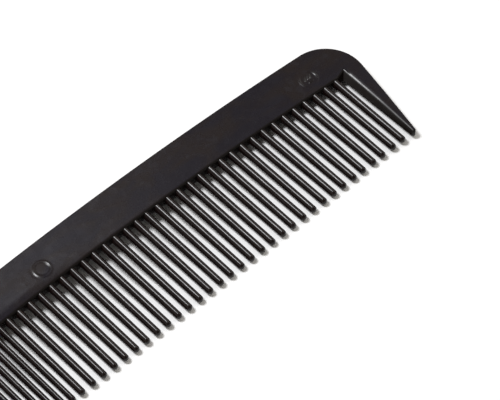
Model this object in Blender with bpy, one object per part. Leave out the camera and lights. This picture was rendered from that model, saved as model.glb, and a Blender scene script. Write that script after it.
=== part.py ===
"""A black moulded pocket comb: one straight bar of teeth under a gently arched spine.

The comb lies flat on its underside, with the origin at the middle of its footprint.
+X runs along the comb to its coarse end, the teeth point to -Y and +Z is up.
The moulding is divided where its features meet: the spine, the broad guard tooth at
each end, and the coarse and fine combing teeth, one object each.
"""

import math

import bmesh
import bpy
from mathutils import Matrix, Vector

MM = 0.001

# Driving dimensions of the whole comb.
LENGTH = 133.5 * MM
HEIGHT = 29.08 * MM
THICKNESS = 2.4 * MM
SPINE_WIDTH = 8.36 * MM
BACK_RADIUS = 743.0 * MM
TOOTH_LINE_RADIUS = 775.0 * MM
CORNER_RADIUS = 7.9 * MM
GULLET_RAMP = 0.58 * MM
CLEARANCE = 0.3 * MM

# Combing teeth: how many, how far apart, their widths and thicknesses, and how far they
# stop short of the guard teeth.
COARSE_COUNT = 32
COARSE_PITCH = 2.5 * MM
COARSE_WIDTHS = (1.52 * MM, 1.35 * MM)
FINE_COUNT = 25
FINE_PITCH = 1.75 * MM
FINE_WIDTHS = (1.28 * MM, 1.1 * MM)
TOOTH_THICKNESS = 1.8 * MM
TOOTH_SETBACK = 0.25 * MM
TOOTH_SIDES = 8
TIP_ROUNDING = 0.32 * MM
TIP_ROUNDING_STEPS = 2

# Guard teeth: the outer side leans in towards the tip, and the inner side is bevelled.
# The bevel runs a little way up into the spine's flat faces.
GUARD_LEAN = math.radians(9.95)
GUARD_ROOT_DROP = 0.45 * MM
GUARD_ROOT_OFFSET = 0.24 * MM
GUARD_TIP_OFFSET = 0.67 * MM
GUARD_ROOT_BEVEL = 1.4 * MM
GUARD_TIP_BEVEL = 0.58 * MM
GUARD_TIP_THICKNESS = 1.8 * MM
GUARD_TAPER_START = 9.25 * MM
GUARD_TIP_LENGTH = 0.5 * MM
GUARD_TIP_SHRINK = 0.45
GUARD_CORNER_RISE = 0.9 * MM

# Steps along the curved outlines.
ARC_STEPS = 30
CORNER_STEPS = 12

# Places that follow from the dimensions above.
MIDDLE = THICKNESS / 2
CROWN_Y = HEIGHT / 2
TIP_Y = -HEIGHT / 2
TOOTH_LINE_CROWN_Y = CROWN_Y - SPINE_WIDTH
HALF_SPAN = (COARSE_COUNT * COARSE_PITCH + FINE_COUNT * FINE_PITCH) / 2
SECTION_CHANGE_X = HALF_SPAN - COARSE_COUNT * COARSE_PITCH
CORNER_X = LENGTH / 2 - CORNER_RADIUS
CORNER_Y = (
    CROWN_Y - BACK_RADIUS + math.sqrt((BACK_RADIUS - CORNER_RADIUS) ** 2 - CORNER_X**2)
)

PLASTIC_COLOUR = (0.021, 0.020, 0.022, 1.0)


def back_y(x):
    """Height of the arched back over x."""
    return CROWN_Y - BACK_RADIUS + math.sqrt(BACK_RADIUS**2 - x**2)


def tooth_line_y(x):
    """The edge of the spine's flat faces, where the gullets and the teeth begin."""
    radius = TOOTH_LINE_RADIUS
    return TOOTH_LINE_CROWN_Y - radius + math.sqrt(radius**2 - x**2)


def gullet_y(x):
    """The edge between two teeth, at half the thickness, where both ramps meet."""
    return tooth_line_y(x) - GULLET_RAMP


def down_guard(y, at_root, at_tip):
    """A measure of the guard tooth that changes evenly from the gullet to the tip."""
    along = (gullet_y(HALF_SPAN) - y) / (gullet_y(HALF_SPAN) - TIP_Y)
    return at_root + (at_tip - at_root) * along


def guard_inner_x(y):
    """The guard tooth's inner edge, at half the thickness."""
    return HALF_SPAN + down_guard(y, GUARD_ROOT_OFFSET, GUARD_TIP_OFFSET)


def guard_ridge_x(y):
    """The edge between the guard tooth's flat face and its inner bevel."""
    return guard_inner_x(y) + down_guard(y, GUARD_ROOT_BEVEL, GUARD_TIP_BEVEL)


def guard_outer_x(y):
    """The guard tooth's straight outer side, tangent to the corner."""
    touch_x = CORNER_X + CORNER_RADIUS * math.cos(GUARD_LEAN)
    touch_y = CORNER_Y - CORNER_RADIUS * math.sin(GUARD_LEAN)
    return touch_x - (touch_y - y) * math.tan(GUARD_LEAN)


def guard_half_thickness(y):
    """Full thickness down to the start of the taper, then thinning evenly."""
    start = TIP_Y + GUARD_TAPER_START
    if y >= start:
        return THICKNESS / 2
    along = (start - y) / GUARD_TAPER_START
    return THICKNESS / 2 + (GUARD_TIP_THICKNESS - THICKNESS) / 2 * along


def clear_scene():
    for obj in list(bpy.data.objects):
        bpy.data.objects.remove(obj, do_unlink=True)


def plastic(name, roughness):
    """Dyed-through black polypropylene."""
    material = bpy.data.materials.new(name)
    material.use_nodes = True
    shader = material.node_tree.nodes["Principled BSDF"]
    shader.inputs["Base Color"].default_value = PLASTIC_COLOUR
    shader.inputs["Roughness"].default_value = roughness
    shader.inputs["Metallic"].default_value = 0.0
    return material


def add_part(name, bm, parent, location=(0, 0, 0), roughness=0.4):
    """Turns a bmesh into a named object with a material of its own."""
    bmesh.ops.recalc_face_normals(bm, faces=bm.faces)
    mesh = bpy.data.meshes.new(name)
    bm.to_mesh(mesh)
    bm.free()
    mesh.materials.append(plastic(name + "_plastic", roughness))
    obj = bpy.data.objects.new(name, mesh)
    obj.location = location
    obj.parent = parent
    parent.users_collection[0].objects.link(obj)
    return obj


def skin(rings):
    """A closed body through rings of equally many points, with a face at each end."""
    bm = bmesh.new()
    loops = [[bm.verts.new(point) for point in ring] for ring in rings]
    bm.faces.new(loops[0])
    bm.faces.new(loops[-1])
    for low, high in zip(loops, loops[1:]):
        for index in range(len(low)):
            before = index - 1
            bm.faces.new((low[before], low[index], high[index], high[before]))
    return bm


def spine_half_outline():
    """The +X half of the spine, as (place on a face, place at half the thickness)."""
    points = []
    corner_start = math.atan2(CORNER_Y - CROWN_Y + BACK_RADIUS, CORNER_X)
    arc_end_x = BACK_RADIUS * math.cos(corner_start)
    for step in range(ARC_STEPS // 2):
        x = arc_end_x * step / (ARC_STEPS // 2)
        points.append((x, back_y(x)))
    for step in range(CORNER_STEPS + 1):
        turn = corner_start + (-GUARD_LEAN - corner_start) * step / CORNER_STEPS
        x = CORNER_X + CORNER_RADIUS * math.cos(turn)
        points.append((x, CORNER_Y + CORNER_RADIUS * math.sin(turn)))
    cut_y = gullet_y(HALF_SPAN) - GUARD_ROOT_DROP
    points.append((guard_outer_x(cut_y), cut_y))
    outline = [(point, point) for point in points]

    ridge_x = guard_ridge_x(gullet_y(HALF_SPAN))
    inner_x = guard_inner_x(gullet_y(HALF_SPAN))
    outline.append(((guard_ridge_x(cut_y), cut_y), (guard_inner_x(cut_y), cut_y)))
    corner_y = tooth_line_y(ridge_x) + GUARD_CORNER_RISE
    outline.append(((ridge_x, corner_y), (inner_x, gullet_y(inner_x))))
    for step in range(1, ARC_STEPS // 2 + 1):
        x = inner_x * (1 - step / (ARC_STEPS // 2))
        outline.append(((x, tooth_line_y(x)), (x, gullet_y(x))))
    return outline


def make_spine(parent):
    """The grip: flat above and below, arched at the back, ramped between the teeth."""
    half = spine_half_outline()
    mirrored = [((-fx, fy), (-mx, my)) for (fx, fy), (mx, my) in reversed(half[1:-1])]
    outline = half + mirrored
    rings = [
        [Vector((*face, 0.0)) for face, middle in outline],
        [Vector((*middle, MIDDLE)) for face, middle in outline],
        [Vector((*face, THICKNESS)) for face, middle in outline],
    ]
    add_part("spine", skin(rings), parent, roughness=0.42)


def guard_ring(y, side, shrink=0.0):
    """The guard tooth's section at y: flat faces, upright outer side, bevelled inner."""
    inner = guard_inner_x(y)
    ridge = guard_ridge_x(y)
    outer = guard_outer_x(y)
    half = guard_half_thickness(y)
    section = [(outer, half), (ridge, half), (inner, 0), (ridge, -half), (outer, -half)]
    centre = Vector(((inner + outer) / 2, 0.0))
    ring = []
    for place in section:
        x, z = centre + (Vector(place) - centre) * (1 - shrink)
        ring.append(Vector((side * x, y, MIDDLE + z)))
    return ring


def make_guard_tooth(name, side, parent):
    """The broad tooth that closes one end of the comb. side is 1 or -1 along X."""
    rings = [
        guard_ring(gullet_y(HALF_SPAN) - GUARD_ROOT_DROP - CLEARANCE, side),
        guard_ring(TIP_Y + GUARD_TAPER_START, side),
        guard_ring(TIP_Y + GUARD_TIP_LENGTH, side),
        guard_ring(TIP_Y, side, GUARD_TIP_SHRINK),
    ]
    add_part(name, skin(rings), parent, roughness=0.38)


def fit_root_to_ramps(bm, x):
    """Shapes a tooth's root end to the V of the spine's edge, a clearance away."""
    root_end = max(vert.co.y for vert in bm.verts)
    ring = [vert for vert in bm.verts if vert.co.y > root_end - 0.1 * MM]
    for vert in ring:
        depth = abs(vert.co.z) / (THICKNESS / 2)
        ramp_y = gullet_y(x + vert.co.x) + GULLET_RAMP * depth
        vert.co.y = ramp_y - CLEARANCE - tooth_line_y(x)
    sides = [vert for vert in ring if abs(vert.co.z) < 0.01 * MM]
    bmesh.ops.connect_verts(bm, verts=sides)


def make_tooth(name, x, widths, parent):
    """One combing tooth: an eight-sided taper with a rounded tip."""
    root_width, tip_width = widths
    length = tooth_line_y(x) - TIP_Y - TOOTH_SETBACK
    bm = bmesh.new()
    bmesh.ops.create_cone(
        bm,
        cap_ends=True,
        segments=TOOTH_SIDES,
        radius1=1.0,
        radius2=tip_width / root_width,
        depth=length,
    )
    size = Matrix.Diagonal((root_width / 2, TOOTH_THICKNESS / 2, 1.0, 1.0))
    turn = Matrix.Rotation(math.radians(90), 4, "X")
    shift = Matrix.Translation((0.0, -length / 2, 0.0))
    bmesh.ops.transform(bm, matrix=shift @ turn @ size, verts=bm.verts)
    tip_edges = [
        edge
        for edge in bm.edges
        if all(vert.co.y < -length + 0.1 * MM for vert in edge.verts)
    ]
    bmesh.ops.bevel(
        bm,
        geom=tip_edges,
        offset=TIP_ROUNDING,
        offset_type="OFFSET",
        segments=TIP_ROUNDING_STEPS,
        profile=0.5,
        affect="EDGES",
    )
    fit_root_to_ramps(bm, x)
    add_part(name, bm, parent, (x, tooth_line_y(x), MIDDLE), roughness=0.3)


def make_teeth(parent):
    """The coarse teeth from the +X end inwards, then the fine teeth."""
    for number in range(1, COARSE_COUNT + 1):
        x = HALF_SPAN - COARSE_PITCH * (number - 0.5)
        make_tooth(f"coarse_tooth_{number:02d}", x, COARSE_WIDTHS, parent)
    for number in range(1, FINE_COUNT + 1):
        x = SECTION_CHANGE_X - FINE_PITCH * (number - 0.5)
        make_tooth(f"fine_tooth_{number:02d}", x, FINE_WIDTHS, parent)


def main():
    clear_scene()
    collection = bpy.data.collections.new("pocket_comb")
    bpy.context.scene.collection.children.link(collection)
    comb = bpy.data.objects.new("pocket_comb", None)
    collection.objects.link(comb)
    make_spine(comb)
    make_guard_tooth("coarse_end_guard_tooth", 1, comb)
    make_guard_tooth("fine_end_guard_tooth", -1, comb)
    make_teeth(comb)


main()
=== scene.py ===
import math

import bmesh
import bpy
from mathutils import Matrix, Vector
from mathutils.geometry import delaunay_2d_cdt


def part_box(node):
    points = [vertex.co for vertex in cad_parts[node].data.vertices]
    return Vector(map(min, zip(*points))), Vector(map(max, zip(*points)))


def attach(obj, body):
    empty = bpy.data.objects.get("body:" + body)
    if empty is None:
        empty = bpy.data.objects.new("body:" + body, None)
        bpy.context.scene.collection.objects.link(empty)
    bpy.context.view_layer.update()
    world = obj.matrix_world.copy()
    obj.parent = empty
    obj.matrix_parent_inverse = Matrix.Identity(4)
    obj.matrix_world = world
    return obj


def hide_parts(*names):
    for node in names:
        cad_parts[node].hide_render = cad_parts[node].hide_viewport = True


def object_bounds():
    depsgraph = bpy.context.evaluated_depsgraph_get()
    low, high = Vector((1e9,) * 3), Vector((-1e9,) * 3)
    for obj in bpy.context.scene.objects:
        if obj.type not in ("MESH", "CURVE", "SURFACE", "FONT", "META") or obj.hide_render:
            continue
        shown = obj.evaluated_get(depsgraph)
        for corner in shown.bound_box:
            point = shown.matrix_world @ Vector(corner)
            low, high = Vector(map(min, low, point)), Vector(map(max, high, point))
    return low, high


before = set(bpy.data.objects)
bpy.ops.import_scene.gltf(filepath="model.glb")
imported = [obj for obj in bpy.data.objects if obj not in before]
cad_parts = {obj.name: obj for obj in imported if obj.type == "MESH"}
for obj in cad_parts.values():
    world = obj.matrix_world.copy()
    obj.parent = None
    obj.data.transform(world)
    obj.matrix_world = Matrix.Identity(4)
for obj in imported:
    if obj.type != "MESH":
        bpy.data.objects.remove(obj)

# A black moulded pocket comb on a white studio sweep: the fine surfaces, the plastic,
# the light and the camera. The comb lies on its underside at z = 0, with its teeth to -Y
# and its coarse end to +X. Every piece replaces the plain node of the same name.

cad_low, cad_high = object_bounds()

MM = 0.001

# The comb's own dimensions, from the frame.
MIDDLE = (cad_low.z + cad_high.z) / 2
HALF_THICKNESS = (cad_high.z - cad_low.z) / 2
CROWN_Y = cad_high.y
TIP_Y = cad_low.y
HALF_LENGTH = cad_high.x
COARSE_TEETH = sorted(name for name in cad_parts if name.startswith("coarse_tooth"))
FINE_TEETH = sorted(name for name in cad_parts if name.startswith("fine_tooth"))
TOOTH_TIP_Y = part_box(COARSE_TEETH[0])[0].y

# The outline: an arched back, a tooth line that follows it, and round corners.
SPINE_WIDTH = 8.36 * MM
BACK_RADIUS = 743.0 * MM
TOOTH_LINE_RADIUS = 775.0 * MM
CORNER_RADIUS = 7.9 * MM
GULLET_RAMP = 0.58 * MM
COARSE_PITCH = 2.5 * MM
FIRST_TOOTH_X = sum(corner.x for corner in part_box(COARSE_TEETH[0])) / 2
HALF_SPAN = FIRST_TOOTH_X + COARSE_PITCH / 2

# The guard teeth.
GUARD_LEAN = math.radians(9.95)
GUARD_ROOT_DROP = 0.45 * MM
GUARD_ROOT_OFFSET = 0.24 * MM
GUARD_TIP_OFFSET = 0.67 * MM
GUARD_ROOT_BEVEL = 1.4 * MM
GUARD_TIP_BEVEL = 0.46 * MM
GUARD_TIP_HALF_THICKNESS = 0.9 * MM
GUARD_TAPER_START = 9.25 * MM
GUARD_TIP_LENGTH = 0.5 * MM
GUARD_CORNER_RISE = 0.9 * MM
GUARD_STEPS = 90
GUARD_TIP_STEPS = 8

# Roundings of the moulding's edges.
EDGE_ROUNDING = 0.12 * MM
RIDGE_ROUNDING = 0.62 * MM
RIDGE_TIP_ROUNDING = 0.46 * MM
TOOTH_LINE_ROUNDING = 0.42 * MM
TOOTH_LINE_SHIFT = 0.13 * MM
ROUNDING_STEPS = 6
ROUNDING_SIDE_SHARE = 0.8
GUARD_FACE_SHARE = 0.45
FLAT_MARGIN = 0.08 * MM
SHARP_ANGLE = math.radians(40)

# A combing tooth's section and length.
TOOTH_SIDES = 32
TOOTH_STEPS = 14
TIP_STEPS = 8
TIP_LENGTH = 0.66 * MM
ROOT_OVERLAP = 0.7 * MM
TOOTH_HALF_THICKNESS = 0.86 * MM
ROOT_FLARE = 0.1 * MM
ROOT_FLARE_LENGTH = 3.0 * MM
ROOT_SHIFT = -0.045 * MM
SECTION_POWER = 1.7
END_GAIN = 0.04
END_GAIN_REACH = 45.0 * MM
TIP_TURN = math.radians(84)
LEAN_POWER = 1.5

# A tooth's width at its tip over its width at the root.
COARSE_TAPER = 1.35 / 1.52
FINE_TAPER = 1.1 / 1.28

# Steps along the spine's outline.
ARC_STEPS = 120
CORNER_STEPS = 28

CORNER_X = HALF_LENGTH - CORNER_RADIUS
CORNER_Y = (
    CROWN_Y - BACK_RADIUS + math.sqrt((BACK_RADIUS - CORNER_RADIUS) ** 2 - CORNER_X**2)
)


def back_y(x):
    return CROWN_Y - BACK_RADIUS + math.sqrt(BACK_RADIUS**2 - x**2)


def tooth_line_y(x):
    """The edge of the spine's flat faces."""
    radius = TOOTH_LINE_RADIUS
    return CROWN_Y - SPINE_WIDTH - radius + math.sqrt(radius**2 - x**2)


def gullet_y(x):
    """The edge between two teeth, at half the thickness."""
    return tooth_line_y(x) - GULLET_RAMP


GULLET_END_Y = gullet_y(HALF_SPAN)
GUARD_CUT_Y = GULLET_END_Y - GUARD_ROOT_DROP


def down_guard(y, at_root, at_tip):
    """A measure of a guard tooth that changes evenly from the gullet to the tip."""
    along = (GULLET_END_Y - y) / (GULLET_END_Y - TIP_Y)
    return at_root + (at_tip - at_root) * along


def guard_inner_x(y):
    return HALF_SPAN + down_guard(y, GUARD_ROOT_OFFSET, GUARD_TIP_OFFSET)


def guard_ridge_x(y):
    return guard_inner_x(y) + down_guard(y, GUARD_ROOT_BEVEL, GUARD_TIP_BEVEL)


def guard_outer_x(y):
    touch_x = CORNER_X + CORNER_RADIUS * math.cos(GUARD_LEAN)
    touch_y = CORNER_Y - CORNER_RADIUS * math.sin(GUARD_LEAN)
    return touch_x - (touch_y - y) * math.tan(GUARD_LEAN)


def guard_half_thickness(y):
    start = TIP_Y + GUARD_TAPER_START
    if y >= start:
        return HALF_THICKNESS
    along = (start - y) / GUARD_TAPER_START
    return HALF_THICKNESS + (GUARD_TIP_HALF_THICKNESS - HALF_THICKNESS) * along


def rounded_edge(middle, corner, inward, rounding):
    """From the edge at half the thickness, up the side and over the corner to the face.

    middle and corner are 3-D points with z measured from half the thickness, and inward
    points across the face. The last point lies on the flat, a margin past the rounding.
    """
    side = middle - corner
    reach = min(rounding, side.length * ROUNDING_SIDE_SHARE)
    start = corner + side.normalized() * reach
    end = corner + inward * rounding
    points = [middle, middle.lerp(start, 0.5)]
    for step in range(ROUNDING_STEPS + 1):
        t = step / ROUNDING_STEPS
        points.append(start * (1 - t) ** 2 + corner * 2 * t * (1 - t) + end * t**2)
    points.append(end + inward * FLAT_MARGIN)
    return points


def finish_mesh(name, bm, material):
    """Makes the bmesh a smooth-shaded piece in place of the node of the same name."""
    bmesh.ops.recalc_face_normals(bm, faces=bm.faces)
    mesh = bpy.data.meshes.new(name + "_surface")
    bm.to_mesh(mesh)
    bm.free()
    mesh.materials.append(material)
    mesh.shade_smooth()
    mesh.set_sharp_from_angle(angle=SHARP_ANGLE)
    piece = bpy.data.objects.new(name + "_moulded", mesh)
    bpy.context.scene.collection.objects.link(piece)
    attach(piece, "root")
    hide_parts(name)
    return piece


def loft(rings):
    """A closed body through rings of equally many points, with a face at each end."""
    bm = bmesh.new()
    loops = [[bm.verts.new(point) for point in ring] for ring in rings]
    bm.faces.new(loops[0])
    bm.faces.new(loops[-1])
    for low, high in zip(loops, loops[1:]):
        for index in range(len(low)):
            before = index - 1
            bm.faces.new((low[before], low[index], high[index], high[before]))
    return bm


# The spine -----------------------------------------------------------------------------


def upright_station(x, y, inward):
    """An upright side with a rounded edge, as used along the back and the corners."""
    return rounded_edge(
        Vector((x, y, 0.0)), Vector((x, y, HALF_THICKNESS)), inward, EDGE_ROUNDING
    )


def back_stations():
    """From the crown to where the corner starts, and the angle of the corner's start."""
    corner_start = math.atan2(CORNER_Y - CROWN_Y + BACK_RADIUS, CORNER_X)
    arc_end_x = BACK_RADIUS * math.cos(corner_start)
    stations = []
    for step in range(ARC_STEPS // 2):
        x = arc_end_x * step / (ARC_STEPS // 2)
        y = back_y(x)
        inward = Vector((-x, CROWN_Y - BACK_RADIUS - y, 0.0)).normalized()
        stations.append(upright_station(x, y, inward))
    return stations, corner_start


def corner_stations(corner_start):
    """Round the corner and down to the top of the guard tooth."""
    stations = []
    for step in range(CORNER_STEPS + 1):
        turn = corner_start + (-GUARD_LEAN - corner_start) * step / CORNER_STEPS
        out = Vector((math.cos(turn), math.sin(turn), 0.0))
        x = CORNER_X + CORNER_RADIUS * out.x
        y = CORNER_Y + CORNER_RADIUS * out.y
        stations.append(upright_station(x, y, -out))
    stations.append(
        upright_station(guard_outer_x(GUARD_CUT_Y), GUARD_CUT_Y, Vector((-1, 0, 0)))
    )
    return stations


def guard_stations():
    """The inner side of the guard tooth's top, with its bevel running up into the face."""
    inner_x = guard_inner_x(GULLET_END_Y)
    ridge_x = guard_ridge_x(GULLET_END_Y)
    cut = rounded_edge(
        Vector((guard_inner_x(GUARD_CUT_Y), GUARD_CUT_Y, 0.0)),
        Vector((guard_ridge_x(GUARD_CUT_Y), GUARD_CUT_Y, HALF_THICKNESS)),
        Vector((1, 0, 0)),
        RIDGE_ROUNDING,
    )
    corner = rounded_edge(
        Vector((inner_x, gullet_y(inner_x), 0.0)),
        Vector((ridge_x, tooth_line_y(ridge_x) + GUARD_CORNER_RISE, HALF_THICKNESS)),
        Vector((1, 1, 0)).normalized(),
        RIDGE_ROUNDING,
    )
    return [cut, corner]


def tooth_line_stations():
    """Along the ramps between the teeth, from the guard tooth to the middle."""
    stations = []
    for step in range(1, ARC_STEPS // 2 + 1):
        x = guard_inner_x(GULLET_END_Y) * (1 - step / (ARC_STEPS // 2))
        stations.append(
            rounded_edge(
                Vector((x, gullet_y(x), 0.0)),
                Vector((x, tooth_line_y(x) - TOOTH_LINE_SHIFT, HALF_THICKNESS)),
                Vector((0, 1, 0)),
                TOOTH_LINE_ROUNDING,
            )
        )
    return stations


def spine_half_stations():
    """The +X half of the spine's edge, each station a profile from its middle to the face."""
    stations, corner_start = back_stations()
    return stations + corner_stations(corner_start) + guard_stations() + tooth_line_stations()


def mirrored(station):
    return [Vector((-point.x, point.y, point.z)) for point in station]


def circle_points(centre, radius, count):
    return [
        Vector(
            (
                centre.x + radius * math.cos(math.tau * step / count),
                centre.y + radius * math.sin(math.tau * step / count),
            )
        )
        for step in range(count)
    ]


def raised_ring(centre, radius, scale, evenness):
    """Loops of a rounded circular rim round a sunk floor, each as (points, lifts).

    The rim is strongest towards -X and +X and weakest across that, where evenness of its
    relief is left. scale sizes the profile, both across and in height.
    """
    swell = []
    for step in range(RING_SIDES):
        turn = math.tau * step / RING_SIDES
        wave = (1 + math.cos(2 * turn)) / 2
        swell.append((evenness + (1 - evenness) * wave) * scale)
    loops = []
    for outwards, lift in RIM_PROFILE:
        points = circle_points(centre, radius + outwards * scale, RING_SIDES)
        loops.append((points, [lift * share for share in swell]))
    return loops


def raised_bar(centre, angle):
    """Loops of a short round-ended bar of the cavity mark."""
    loops = []
    direction = Vector((math.cos(angle), math.sin(angle)))
    for inset, rise in BAR_PROFILE:
        radius = BAR_WIDTH / 2 - inset
        points = []
        for step in range(BAR_SIDES):
            turn = angle - math.pi / 2 + math.tau * step / BAR_SIDES
            end = direction * BAR_LENGTH / 2 * (1 if step < BAR_SIDES // 2 else -1)
            points.append(centre + end + Vector((math.cos(turn), math.sin(turn))) * radius)
        loops.append((points, [BAR_FOOT + (BAR_TOP - BAR_FOOT) * rise] * BAR_SIDES))
    return loops


# For delaunay_2d_cdt: keep what is inside the loops, and merge points this near, in
# millimetres.
KEEP_INSIDE = 1
MERGE_WITHIN = 1e-6


def fill_face(bm, boundary, loops, side):
    """Fills the spine's flat face inside boundary, raised along the loops. side is 1 or -1."""
    flat = [Vector((vert.co.x, vert.co.y)) / MM for vert in boundary]
    lifts = [0.0] * len(flat)
    edges = [(i, (i + 1) % len(flat)) for i in range(len(flat))]
    for points, heights in loops:
        start = len(flat)
        flat += [point / MM for point in points]
        lifts += heights
        edges += [(start + i, start + (i + 1) % len(points)) for i in range(len(points))]
    found, _, faces, sources, _, _ = delaunay_2d_cdt(
        flat, edges, [], KEEP_INSIDE, MERGE_WITHIN
    )
    verts = []
    for point, source in zip(found, sources):
        if source and source[0] < len(boundary):
            verts.append(boundary[source[0]])
        else:
            lift = lifts[source[0]] if source else 0.0
            z = MIDDLE + side * (HALF_THICKNESS + lift)
            verts.append(bm.verts.new((point.x * MM, point.y * MM, z)))
    for face in faces:
        bm.faces.new([verts[i] for i in face])


EJECTOR_PLACE = Vector((-5.83, 9.32)) * MM
EJECTOR_RADIUS = 1.58 * MM
EJECTOR_SCALE = 1.15
EJECTOR_EVENNESS = 0.3
MARK_PLACE = Vector((57.06, 7.19)) * MM
MARK_RADIUS = 1.75 * MM
MARK_SCALE = 0.9
MARK_EVENNESS = 0.15
RING_SIDES = 72
BAR_SIDES = 16

# Across a rim from outside inwards: (distance outwards from its crest, height).
RIM_PROFILE = (
    (0.90 * MM, 0.0),
    (0.60 * MM, -0.018 * MM),
    (0.34 * MM, -0.045 * MM),
    (0.25 * MM, -0.030 * MM),
    (0.07 * MM, 0.049 * MM),
    (0.0 * MM, 0.058 * MM),
    (-0.07 * MM, 0.049 * MM),
    (-0.25 * MM, -0.035 * MM),
    (-0.34 * MM, -0.070 * MM),
    (-0.45 * MM, -0.075 * MM),
)

# Up the side of a bar: (distance in from its foot, share of its height).
BAR_PROFILE = ((-0.03 * MM, 0.0), (0.0, 0.0), (0.13 * MM, 0.65), (0.2 * MM, 1.0))
BAR_LENGTH = 0.8 * MM
BAR_WIDTH = 0.44 * MM
BAR_FOOT = -0.045 * MM
BAR_TOP = 0.055 * MM

# The bars of the cavity mark: (place from the ring's centre, in millimetres, angle).
UPRIGHT = math.radians(70)
BARS = (
    ((-0.6, 0.3), UPRIGHT),
    ((0.0, 0.3), UPRIGHT),
    ((0.6, 0.3), UPRIGHT),
    ((0.0, -0.8), 0.0),
)


def top_marks():
    """What the mould leaves on the upper face: an ejector rim and a plain cavity mark."""
    loops = raised_ring(EJECTOR_PLACE, EJECTOR_RADIUS, EJECTOR_SCALE, EJECTOR_EVENNESS)
    loops += raised_ring(MARK_PLACE, MARK_RADIUS, MARK_SCALE, MARK_EVENNESS)
    for place, angle in BARS:
        loops += raised_bar(MARK_PLACE + Vector(place) * MM, angle)
    return loops


def make_spine(material):
    half = spine_half_stations()
    stations = half + [mirrored(station) for station in reversed(half[1:-1])]
    bm = bmesh.new()
    levels = len(stations[0])
    upper = []
    lower = []
    for station in stations:
        up = [bm.verts.new((p.x, p.y, MIDDLE + p.z)) for p in station]
        down = [up[0]] + [bm.verts.new((p.x, p.y, MIDDLE - p.z)) for p in station[1:]]
        upper.append(up)
        lower.append(down)
    for side in (upper, lower):
        for index in range(len(side)):
            here = side[index]
            before = side[index - 1]
            for level in range(levels - 1):
                bm.faces.new((before[level], here[level], here[level + 1], before[level + 1]))
    fill_face(bm, [column[-1] for column in upper], top_marks(), 1)
    fill_face(bm, [column[-1] for column in lower], [], -1)
    return finish_mesh("spine", bm, material)


# The guard teeth -----------------------------------------------------------------------


def guard_section(y, shrink=0.0):
    """Half of the guard tooth's section at y, from the inner edge over the face outwards."""
    half = guard_half_thickness(y)
    inner = guard_inner_x(y)
    ridge = guard_ridge_x(y)
    outer = guard_outer_x(y)
    room = (outer - ridge) * GUARD_FACE_SHARE
    rounding = down_guard(y, RIDGE_ROUNDING, RIDGE_TIP_ROUNDING)
    inner_side = rounded_edge(
        Vector((inner, 0, 0)),
        Vector((ridge, 0, half)),
        Vector((1, 0, 0)),
        min(rounding, room),
    )
    outer_side = rounded_edge(
        Vector((outer, 0, 0)),
        Vector((outer, 0, half)),
        Vector((-1, 0, 0)),
        min(EDGE_ROUNDING, room),
    )
    section = inner_side[:-1] + outer_side[-2::-1]
    centre = Vector(((inner + outer) / 2, 0, 0))
    return [centre + (point - centre) * (1 - shrink) for point in section]


def guard_ring(y, side, shrink=0.0):
    section = guard_section(y, shrink)
    ring = [Vector((side * p.x, y, MIDDLE + p.z)) for p in section]
    ring += [Vector((side * p.x, y, MIDDLE - p.z)) for p in section[-2:0:-1]]
    return ring


def make_guard(name, side, material):
    shoulder = TIP_Y + GUARD_TIP_LENGTH
    rings = []
    for step in range(GUARD_STEPS):
        y = GUARD_CUT_Y + (shoulder - GUARD_CUT_Y) * step / GUARD_STEPS
        rings.append(guard_ring(y, side))
    for step in range(GUARD_TIP_STEPS + 1):
        turn = TIP_TURN * step / GUARD_TIP_STEPS
        y = shoulder - GUARD_TIP_LENGTH * math.sin(turn) / math.sin(TIP_TURN)
        rings.append(guard_ring(y, side, 1 - math.cos(turn)))
    return finish_mesh(name, loft(rings), material)


# The combing teeth ---------------------------------------------------------------------


def tooth_section(half_width, half_thickness):
    """A rounded lozenge, sharper along the ridge than an ellipse."""
    points = []
    for step in range(TOOTH_SIDES):
        turn = math.tau * step / TOOTH_SIDES
        c = math.cos(turn)
        s = math.sin(turn)
        x = math.copysign(abs(c) ** (2 / SECTION_POWER), c)
        z = math.copysign(abs(s) ** (2 / SECTION_POWER), s)
        points.append((half_width * x, half_thickness * z))
    return points


# How the coarse teeth's tips stray along X, counted in teeth from the coarse end.
GROUP_LEAN = 0.19 * MM
GROUP_MIDDLE = 8.5
GROUP_SPREAD = 4.5
FIRST_LEAN = 0.13 * MM
ZIGZAG_LEAN = 0.1 * MM
ZIGZAG_TURN = 8
ZIGZAG_FADE = 12
COMMON_LEAN = -0.03 * MM


def tip_lean(number):
    """How far a coarse tooth's tip strays along X, like teeth bent in use.

    The teeth round the eighth share a lean, the first has its own, and neighbours stray
    by turns to either side, less and less inwards. The turns swap at the eighth tooth.
    """
    group = GROUP_LEAN * math.exp(-(((number - GROUP_MIDDLE) / GROUP_SPREAD) ** 2))
    first = FIRST_LEAN * math.exp(1 - number)
    swap = math.tanh(ZIGZAG_TURN - number)
    zigzag = ZIGZAG_LEAN * (-1) ** number * swap * math.exp(-number / ZIGZAG_FADE)
    return group + first + zigzag + COMMON_LEAN


def end_gain(x):
    """Teeth are a little stouter towards the coarse end."""
    return 1 + END_GAIN * min(1.0, max(0.0, x / END_GAIN_REACH))


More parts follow.
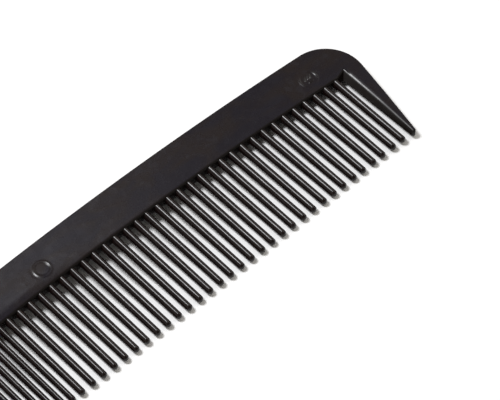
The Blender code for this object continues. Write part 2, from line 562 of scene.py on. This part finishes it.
def make_tooth(name, taper, material, lean=0.0):
    low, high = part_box(name)
    x = (low.x + high.x) / 2
    gain = end_gain(x)
    root_half_width = (high.x - low.x) / 2 * gain
    root_y = tooth_line_y(x) + ROOT_OVERLAP
    shoulder = TOOTH_TIP_Y + TIP_LENGTH
    places = []
    for step in range(TOOTH_STEPS):
        places.append((root_y + (shoulder - root_y) * step / TOOTH_STEPS, 1.0))
    for step in range(TIP_STEPS + 1):
        turn = TIP_TURN * step / TIP_STEPS
        y = shoulder - TIP_LENGTH * math.sin(turn) / math.sin(TIP_TURN)
        places.append((y, math.cos(turn)))
    rings = []
    for y, shrink in places:
        along = (root_y - y) / (root_y - TOOTH_TIP_Y)
        scale = (1 + (taper - 1) * along) * shrink
        flare = ROOT_FLARE * math.exp((y - root_y) / ROOT_FLARE_LENGTH) * shrink
        deep = TOOTH_HALF_THICKNESS * gain * scale + flare
        centre_x = x + lean * along**LEAN_POWER + ROOT_SHIFT * (1 - along) ** 2
        section = tooth_section(root_half_width * scale, deep)
        rings.append([Vector((centre_x + px, y, MIDDLE + pz)) for px, pz in section])
    return finish_mesh(name, loft(rings), material)


# Materials -----------------------------------------------------------------------------


class Shader:
    """A material's node tree, with short calls for the nodes that the plastics share."""

    def __init__(self, name):
        self.material = bpy.data.materials.new(name)
        self.material.use_nodes = True
        self.tree = self.material.node_tree
        self.surface = self.tree.nodes["Principled BSDF"]
        coordinates = self.tree.nodes.new("ShaderNodeTexCoord")
        self.normal = coordinates.outputs["Normal"]
        self.place = self.stretched(coordinates.outputs["Object"], (1 / MM, 1 / MM, 1 / MM))

    def link(self, source, target):
        self.tree.links.new(source, target)

    def stretched(self, vector, scale):
        node = self.tree.nodes.new("ShaderNodeVectorMath")
        node.operation = "MULTIPLY"
        self.link(vector, node.inputs[0])
        node.inputs[1].default_value = scale
        return node.outputs["Vector"]

    def turned(self, vector, angle):
        node = self.tree.nodes.new("ShaderNodeVectorRotate")
        node.rotation_type = "Z_AXIS"
        node.inputs["Angle"].default_value = angle
        self.link(vector, node.inputs["Vector"])
        return node.outputs["Vector"]

    def noise(self, vector, scale, detail=2.0, distortion=0.0):
        node = self.tree.nodes.new("ShaderNodeTexNoise")
        node.inputs["Scale"].default_value = scale
        node.inputs["Detail"].default_value = detail
        node.inputs["Distortion"].default_value = distortion
        self.link(vector, node.inputs["Vector"])
        return node.outputs["Fac"]

    def spread(self, value, low, high, to_low=0.0, to_high=1.0):
        """Maps low..high smoothly to to_low..to_high."""
        node = self.tree.nodes.new("ShaderNodeMapRange")
        node.interpolation_type = "SMOOTHSTEP"
        self.link(value, node.inputs["Value"])
        node.inputs["From Min"].default_value = low
        node.inputs["From Max"].default_value = high
        node.inputs["To Min"].default_value = to_low
        node.inputs["To Max"].default_value = to_high
        return node.outputs["Result"]

    def math(self, operation, first, second):
        node = self.tree.nodes.new("ShaderNodeMath")
        node.operation = operation
        for socket, value in zip(node.inputs, (first, second)):
            if isinstance(value, (int, float)):
                socket.default_value = value
            else:
                self.link(value, socket)
        return node.outputs["Value"]

    def blend(self, share, first, second):
        """Colour mix. first and second are colours or sockets."""
        node = self.tree.nodes.new("ShaderNodeMix")
        node.data_type = "RGBA"
        self.link(share, node.inputs["Factor"])
        for socket, value in ((node.inputs[6], first), (node.inputs[7], second)):
            if isinstance(value, tuple):
                socket.default_value = (*value, 1.0)
            else:
                self.link(value, socket)
        return node.outputs[2]

    def specks(self, size, radius, chance):
        """A mask of small round dots, one in a cell of this size with this chance."""
        node = self.tree.nodes.new("ShaderNodeTexVoronoi")
        node.inputs["Scale"].default_value = 1 / size
        self.link(self.place, node.inputs["Vector"])
        edge = radius / size
        dot = self.spread(node.outputs["Distance"], edge, SPECK_CORE * edge)
        split = self.tree.nodes.new("ShaderNodeSeparateColor")
        self.link(node.outputs["Color"], split.inputs["Color"])
        chosen = self.math("LESS_THAN", split.outputs[0], chance)
        return self.math("MULTIPLY", dot, chosen)

    def bump(self, height, depth, normal=None):
        node = self.tree.nodes.new("ShaderNodeBump")
        node.inputs["Strength"].default_value = 1.0
        node.inputs["Distance"].default_value = depth
        self.link(height, node.inputs["Height"])
        if normal:
            self.link(normal, node.inputs["Normal"])
        return node.outputs["Normal"]

    def coordinate(self, axis):
        """The place along X or Y, in millimetres."""
        split = self.tree.nodes.new("ShaderNodeSeparateXYZ")
        self.link(self.place, split.inputs["Vector"])
        return split.outputs[axis]

    def sink(self):
        """A height that falls away near the tooth line, the more the nearer the fine end."""
        x = self.coordinate("X")
        arch = self.math("MULTIPLY", self.math("MULTIPLY", x, x), MM / TOOTH_LINE_RADIUS / 2)
        from_crown = self.math("ADD", self.coordinate("Y"), arch)
        from_line = self.math("SUBTRACT", from_crown, tooth_line_y(0.0) / MM)
        near = self.spread(from_line, -SINK_WIDTH, SINK_WIDTH, -1.0, 0.0)
        return self.math("MULTIPLY", near, self.spread(x, *SINK_XS, *SINK_SHARES))

    def flatness(self):
        """1 on the flat upper and lower faces, 0 on bevels, ramps and roundings."""
        split = self.tree.nodes.new("ShaderNodeSeparateXYZ")
        self.link(self.normal, split.inputs["Vector"])
        return self.spread(self.math("ABSOLUTE", split.outputs["Z"], 0.0), *FLAT_NORMAL_Z)

    def finish(self, colour, roughness, normal, specular):
        self.link(colour, self.surface.inputs["Base Color"])
        self.link(roughness, self.surface.inputs["Roughness"])
        self.link(normal, self.surface.inputs["Normal"])
        self.surface.inputs["IOR"].default_value = PLASTIC_IOR
        self.surface.inputs["Specular IOR Level"].default_value = specular
        return self.material


PLASTIC_IOR = 1.49
FLAT_NORMAL_Z = (0.93, 0.995)
SPECK_CORE = 0.4

# The satin body's colours.
COOL_BLACK = (0.0046, 0.0030, 0.0068)
WARM_BLACK = (0.0074, 0.0036, 0.0034)
BLOOM_GREY = (0.0135, 0.0115, 0.0150)
# Painted shade: a darker base colour for the bevels, ramps and roundings, where the body looks
# darker under the lights.
BEVEL_PAINTED_SHADE = (0.0048, 0.0030, 0.0026)
DUST_GREY = (0.16, 0.15, 0.13)

# Its patterns. Scales are per millimetre, and a range is the part of a noise that shows.
FLOW_SCALE = (0.11, 0.26, 0.26)
FLOW_DETAIL = 4.0
FLOW_DISTORTION = 0.8
FLOW_RANGE = (0.35, 0.65)
MOTTLE_SCALE = 0.55
MOTTLE_DETAIL = 4.0
MOTTLE_DISTORTION = 0.4
MOTTLE_RANGE = (0.3, 0.7)
GRAIN_SCALE = 7.0
BRUSH_ANGLE = math.radians(24)
BRUSH_SCALE = (0.07, 5.0, 1.0)
BRUSH_DETAIL = 3.0
HAIRLINE_RANGE = (0.68, 0.78)
HAIRLINE_COLOUR_SHARE = 0.35
BLOOM_RANGE = (0.27, 0.42)
BLOOM_MOST = 0.6
DUST_CELL = 4.5
DUST_RADIUS = 0.17
DUST_CHANCE = 0.22

# Its finish. The bevels of the guard teeth are rubbed duller towards their tips.
SATIN_ROUGHNESS = (0.28, 0.21)
GRAIN_ROUGHNESS = 0.04
HAIRLINE_POLISH = 0.06
POLISHED_ROUGHNESS = (0.23, 0.29)
RUBBED_YS = (2.0, -9.0)
RUBBED_ROUGHNESS = 0.12
SATIN_SPECULAR = 0.27
FLOW_DEPTH = 0.035 * MM
MOTTLE_DEPTH = 0.008 * MM
HAIRLINE_DEPTH = 0.0015 * MM
GRAIN_DEPTH = 0.0012 * MM

# Its faces sink a little to the tooth line. Widths and places are in millimetres.
SINK_WIDTH = 2.0
SINK_XS = (12.0, -14.0)
SINK_SHARES = (0.15, 1.0)
SINK_DEPTH = 0.4 * MM


def satin_plastic(name):
    """The moulded body: satin faces with flow marks and scuffs, polished on the bevels, with
    painted shade darkening the bevels, ramps and roundings.
    """
    shader = Shader(name)
    flowing = shader.stretched(shader.place, FLOW_SCALE)
    flow = shader.noise(flowing, 1.0, FLOW_DETAIL, FLOW_DISTORTION)
    mottle = shader.noise(shader.place, MOTTLE_SCALE, MOTTLE_DETAIL, MOTTLE_DISTORTION)
    grain = shader.noise(shader.place, GRAIN_SCALE)
    brushed = shader.stretched(shader.turned(shader.place, BRUSH_ANGLE), BRUSH_SCALE)
    hairlines = shader.spread(shader.noise(brushed, 1.0, BRUSH_DETAIL), *HAIRLINE_RANGE)
    dust = shader.specks(DUST_CELL, DUST_RADIUS, DUST_CHANCE)
    flat = shader.flatness()

    colour = shader.blend(shader.spread(flow, *FLOW_RANGE), COOL_BLACK, WARM_BLACK)
    clouds = shader.math("MULTIPLY", mottle, flow)
    colour = shader.blend(
        shader.spread(clouds, *BLOOM_RANGE, 0.0, BLOOM_MOST), colour, BLOOM_GREY
    )
    scuffed = shader.math("MULTIPLY", hairlines, HAIRLINE_COLOUR_SHARE)
    colour = shader.blend(scuffed, colour, BLOOM_GREY)
    # Painted shade: the bevels, ramps and roundings take the darker colour.
    colour = shader.blend(flat, BEVEL_PAINTED_SHADE, colour)
    colour = shader.blend(dust, colour, DUST_GREY)

    satin = shader.spread(mottle, *MOTTLE_RANGE, *SATIN_ROUGHNESS)
    satin = shader.math("ADD", satin, shader.math("MULTIPLY", grain, GRAIN_ROUGHNESS))
    satin = shader.math("SUBTRACT", satin, shader.math("MULTIPLY", hairlines, HAIRLINE_POLISH))
    polished = shader.spread(mottle, *MOTTLE_RANGE, *POLISHED_ROUGHNESS)
    rubbed = shader.spread(shader.coordinate("Y"), *RUBBED_YS, 0.0, RUBBED_ROUGHNESS)
    polished = shader.math("ADD", polished, rubbed)
    difference = shader.math("SUBTRACT", satin, polished)
    roughness = shader.math("ADD", polished, shader.math("MULTIPLY", difference, flat))

    waves = shader.bump(shader.sink(), SINK_DEPTH)
    waves = shader.bump(flow, FLOW_DEPTH, waves)
    waves = shader.bump(mottle, MOTTLE_DEPTH, waves)
    waves = shader.bump(hairlines, HAIRLINE_DEPTH, waves)
    normal = shader.bump(grain, GRAIN_DEPTH, waves)
    return shader.finish(colour, roughness, normal, SATIN_SPECULAR)


# The polished teeth, in the same terms.
TOOTH_BLACK = (0.0044, 0.0018, 0.0018)
TOOTH_WARM_BLACK = (0.0070, 0.0032, 0.0024)
TOOTH_WEAR_GREY = (0.012, 0.009, 0.010)
STREAK_SCALE = (4.0, 0.22, 4.0)
STREAK_DETAIL = 3.0
STREAK_RANGE = (0.3, 0.7)
TOOTH_MOTTLE_SCALE = 0.5
TOOTH_MOTTLE_DETAIL = 3.0
TOOTH_MOTTLE_RANGE = (0.35, 0.65)
TOOTH_GRAIN_SCALE = 9.0
WEAR_RANGE = (0.25, 0.4)
WEAR_MOST = 0.5
NICK_CELL = 3.2
NICK_RADIUS = 0.12
NICK_CHANCE = 0.16
TOOTH_ROUGHNESS = (0.2, 0.26)
TOOTH_GRAIN_ROUGHNESS = 0.03
TOOTH_SPECULAR = 0.28
STREAK_DEPTH = 0.006 * MM
NICK_HEIGHT = 0.02 * MM
TOOTH_GRAIN_DEPTH = 0.0008 * MM


def gloss_plastic(name):
    """The combing teeth: polished, with faint lengthwise streaks, wear and small nicks."""
    shader = Shader(name)
    drawn = shader.stretched(shader.place, STREAK_SCALE)
    streaks = shader.noise(drawn, 1.0, STREAK_DETAIL)
    mottle = shader.noise(shader.place, TOOTH_MOTTLE_SCALE, TOOTH_MOTTLE_DETAIL)
    grain = shader.noise(shader.place, TOOTH_GRAIN_SCALE)
    nicks = shader.specks(NICK_CELL, NICK_RADIUS, NICK_CHANCE)

    warmth = shader.spread(mottle, *TOOTH_MOTTLE_RANGE)
    colour = shader.blend(warmth, TOOTH_BLACK, TOOTH_WARM_BLACK)
    clouds = shader.math("MULTIPLY", streaks, mottle)
    worn = shader.spread(clouds, *WEAR_RANGE, 0.0, WEAR_MOST)
    colour = shader.blend(worn, colour, TOOTH_WEAR_GREY)

    roughness = shader.spread(streaks, *STREAK_RANGE, *TOOTH_ROUGHNESS)
    fine = shader.math("MULTIPLY", grain, TOOTH_GRAIN_ROUGHNESS)
    roughness = shader.math("ADD", roughness, fine)

    waves = shader.bump(streaks, STREAK_DEPTH)
    waves = shader.bump(nicks, NICK_HEIGHT, waves)
    normal = shader.bump(grain, TOOTH_GRAIN_DEPTH, waves)
    return shader.finish(colour, roughness, normal, TOOTH_SPECULAR)


SWEEP_WHITE = (0.9, 0.9, 0.9, 1)
SWEEP_ROUGHNESS = 0.9


def white_sweep():
    material = bpy.data.materials.new("white_sweep")
    material.use_nodes = True
    surface = material.node_tree.nodes["Principled BSDF"]
    surface.inputs["Base Color"].default_value = SWEEP_WHITE
    surface.inputs["Roughness"].default_value = SWEEP_ROUGHNESS
    surface.inputs["Specular IOR Level"].default_value = 0.0
    return material


# The studio ----------------------------------------------------------------------------


FLOOR_RADIUS = 2.5
FLOOR_RIM_HEIGHT = 0.35
FLOOR_RIM_RADIUS = 0.8
FLOOR_SIDES = 96
FLOOR_FIRST_RING = 1.5 * MM
FLOOR_RING_GROWTH = 1.07

# The real comb is slightly bowed. It is built straight, and the floor dips under it
# instead. The teeth are thinner than the spine, so under their tips the floor rises.
END_DIP = 0.3 * MM
MIDDLE_DIP = 1.58 * MM
DIP_START_X = 58.0 * MM
DIP_FULL_X = 2.0 * MM
DIP_RISE = 0.011
TIP_RISE = 0.28 * MM
COARSE_RISE = 0.08 * MM
COARSE_RISE_XS = (10.0 * MM, 30.0 * MM)
GUARD_RELIEF = 0.22 * MM
GUARD_RELIEF_XS = (56.0 * MM, 62.0 * MM)
RISE_FULL_Y = -11.0 * MM
DIP_FULL_Y = 2.0 * MM
DIP_EDGE = 40.0 * MM


def smooth_step(value, low, high):
    share = min(1.0, max(0.0, (value - low) / (high - low)))
    return share * share * (3 - 2 * share)


def floor_dip(x, y):
    """How far the floor lies below the comb's underside: less than 0 where it rises.

    It is deepest under the middle of the spine, rises under the tips, and is 0 further
    away. The floor touches no piece.
    """
    deep = END_DIP + (MIDDLE_DIP - END_DIP) * smooth_step(-x, -DIP_START_X, -DIP_FULL_X)
    deep -= DIP_RISE * max(0.0, DIP_FULL_X - x)
    rise = TIP_RISE + COARSE_RISE * smooth_step(x, *COARSE_RISE_XS)
    rise -= GUARD_RELIEF * smooth_step(abs(x), *GUARD_RELIEF_XS)
    under_spine = smooth_step(y, RISE_FULL_Y, DIP_FULL_Y)
    dip = (max(0.0, deep) + rise) * under_spine - rise
    beyond = max(0.0, abs(x) - HALF_LENGTH, y - CROWN_Y, TIP_Y - y)
    return dip * (1 - smooth_step(beyond, 0.0, DIP_EDGE))


def floor_height(x, y):
    """Level, but for the dip under the comb and a rim at the far edge."""
    distance = math.hypot(x, y)
    rise = max(0.0, distance - FLOOR_RADIUS + FLOOR_RIM_RADIUS) / FLOOR_RIM_RADIUS
    return cad_low.z - floor_dip(x, y) + FLOOR_RIM_HEIGHT * rise**2


def ring_radii():
    """Close together round the comb, and spreading out beyond it."""
    radii = []
    radius = FLOOR_FIRST_RING
    while radius < FLOOR_RADIUS:
        radii.append(radius)
        radius += min(radius * (FLOOR_RING_GROWTH - 1), FLOOR_FIRST_RING)
        if radius >= 2 * HALF_LENGTH:
            radius *= FLOOR_RING_GROWTH
    return radii


def make_floor():
    bm = bmesh.new()
    centre = bm.verts.new((0.0, 0.0, floor_height(0.0, 0.0)))
    rings = []
    for radius in ring_radii():
        ring = []
        for step in range(FLOOR_SIDES):
            turn = math.tau * step / FLOOR_SIDES
            x = radius * math.cos(turn)
            y = radius * math.sin(turn)
            ring.append(bm.verts.new((x, y, floor_height(x, y))))
        rings.append(ring)
    for index in range(FLOOR_SIDES):
        bm.faces.new((centre, rings[0][index - 1], rings[0][index]))
    for inner, outer in zip(rings, rings[1:]):
        for index in range(FLOOR_SIDES):
            before = index - 1
            bm.faces.new((inner[before], outer[before], outer[index], inner[index]))
    mesh = bpy.data.meshes.new("floor")
    bm.to_mesh(mesh)
    bm.free()
    mesh.shade_smooth()
    mesh.materials.append(white_sweep())
    floor = bpy.data.objects.new("floor", mesh)
    bpy.context.scene.collection.objects.link(floor)


CAMERA_AZIMUTH = math.radians(-43.207)
CAMERA_ELEVATION = math.radians(55.979)
CAMERA_DISTANCE = 527.11 * MM
CAMERA_TARGET = Vector((31.356, -4.505, 1.25)) * MM
CAMERA_LENS = 211.617
CAMERA_SENSOR = 36.0
CAMERA_CLIP = (0.01, 20.0)


def make_camera():
    flat = math.cos(CAMERA_ELEVATION)
    back = Vector(
        (
            math.sin(CAMERA_AZIMUTH) * flat,
            -math.cos(CAMERA_AZIMUTH) * flat,
            math.sin(CAMERA_ELEVATION),
        )
    )
    data = bpy.data.cameras.new("camera")
    data.sensor_width = CAMERA_SENSOR
    data.lens = CAMERA_LENS
    data.clip_start, data.clip_end = CAMERA_CLIP
    camera = bpy.data.objects.new("camera", data)
    camera.location = CAMERA_TARGET + back * CAMERA_DISTANCE
    camera.rotation_euler = (-back).to_track_quat("-Z", "Y").to_euler()
    bpy.context.scene.collection.objects.link(camera)
    bpy.context.scene.camera = camera


KEY_DIRECTION = Vector((-0.27, 0.40, 0.87))
KEY_DISTANCE = 0.6
KEY_SIZE = 0.18
KEY_POWER = 3.3
KEY_COLOUR = (0.97, 0.98, 1.0)
FILL_DIRECTION = Vector((0.19, 0.46, 0.867))
FILL_DISTANCE = 0.5
FILL_SIZE = 0.12
FILL_POWER = 0.095
FILL_COLOUR = (0.94, 0.94, 1.0)


def make_light(name, direction, distance, size, power, colour):
    """A round soft light that looks at the camera's target from this direction."""
    data = bpy.data.lights.new(name, "AREA")
    data.shape = "DISK"
    data.size = size
    data.energy = power
    data.color = colour
    light = bpy.data.objects.new(name, data)
    direction = direction.normalized()
    light.location = CAMERA_TARGET + direction * distance
    light.rotation_euler = (-direction).to_track_quat("-Z", "Y").to_euler()
    bpy.context.scene.collection.objects.link(light)


# Soft patches of light in the room: (direction, level).
SKY_LOBES = (
    ((0.0, 0.0, 1.0), 0.12),
    ((0.8, 0.0, 0.6), 1.50),
    ((-0.8, 0.0, 0.6), 0.45),
    ((0.0, 0.8, 0.6), 0.50),
    ((0.0, -0.8, 0.6), 0.10),
    ((0.97, 0.0, 0.2), 0.80),
    ((-0.97, 0.0, 0.2), 0.42),
    ((0.0, 0.97, 0.2), 0.15),
    ((0.0, -0.97, 0.2), 0.36),
)
SKY_LOBE_SHARPNESS = 8.0
SKY_COLOUR = (1.0, 0.96, 0.90)


def make_world():
    """A dim room with broad patches of light at its sides, the brightest to the right."""
    world = bpy.data.worlds.new("studio")
    world.use_nodes = True
    tree = world.node_tree
    direction = tree.nodes.new("ShaderNodeTexCoord").outputs["Generated"]

    def math_node(operation, first, second):
        node = tree.nodes.new("ShaderNodeMath")
        node.operation = operation
        for socket, value in zip(node.inputs, (first, second)):
            if isinstance(value, float):
                socket.default_value = value
            else:
                tree.links.new(value, socket)
        return node.outputs["Value"]

    total = 0.0
    for axis, level in SKY_LOBES:
        along = tree.nodes.new("ShaderNodeVectorMath")
        along.operation = "DOT_PRODUCT"
        along.inputs[1].default_value = Vector(axis).normalized()
        tree.links.new(direction, along.inputs[0])
        off_axis = math_node("SUBTRACT", along.outputs["Value"], 1.0)
        falloff = math_node("MULTIPLY", off_axis, SKY_LOBE_SHARPNESS)
        glow = math_node("MULTIPLY", math_node("EXPONENT", falloff, 0.0), level)
        total = math_node("ADD", glow, total)
    background = tree.nodes["Background"]
    background.inputs["Color"].default_value = (*SKY_COLOUR, 1.0)
    tree.links.new(total, background.inputs["Strength"])
    bpy.context.scene.world = world


def main():
    satin = satin_plastic("satin_black_plastic")
    gloss = gloss_plastic("polished_black_plastic")
    spine = make_spine(satin)
    make_guard("coarse_end_guard_tooth", 1, satin)
    make_guard("fine_end_guard_tooth", -1, satin)
    for number, name in enumerate(COARSE_TEETH, start=1):
        tooth = make_tooth(name, COARSE_TAPER, gloss, tip_lean(number))
    for name in FINE_TEETH:
        make_tooth(name, FINE_TAPER, gloss)
    make_floor()
    make_camera()
    make_light("key", KEY_DIRECTION, KEY_DISTANCE, KEY_SIZE, KEY_POWER, KEY_COLOUR)
    make_light("fill", FILL_DIRECTION, FILL_DISTANCE, FILL_SIZE, FILL_POWER, FILL_COLOUR)
    make_world()
    bpy.context.scene.view_settings.view_transform = "Standard"


main()
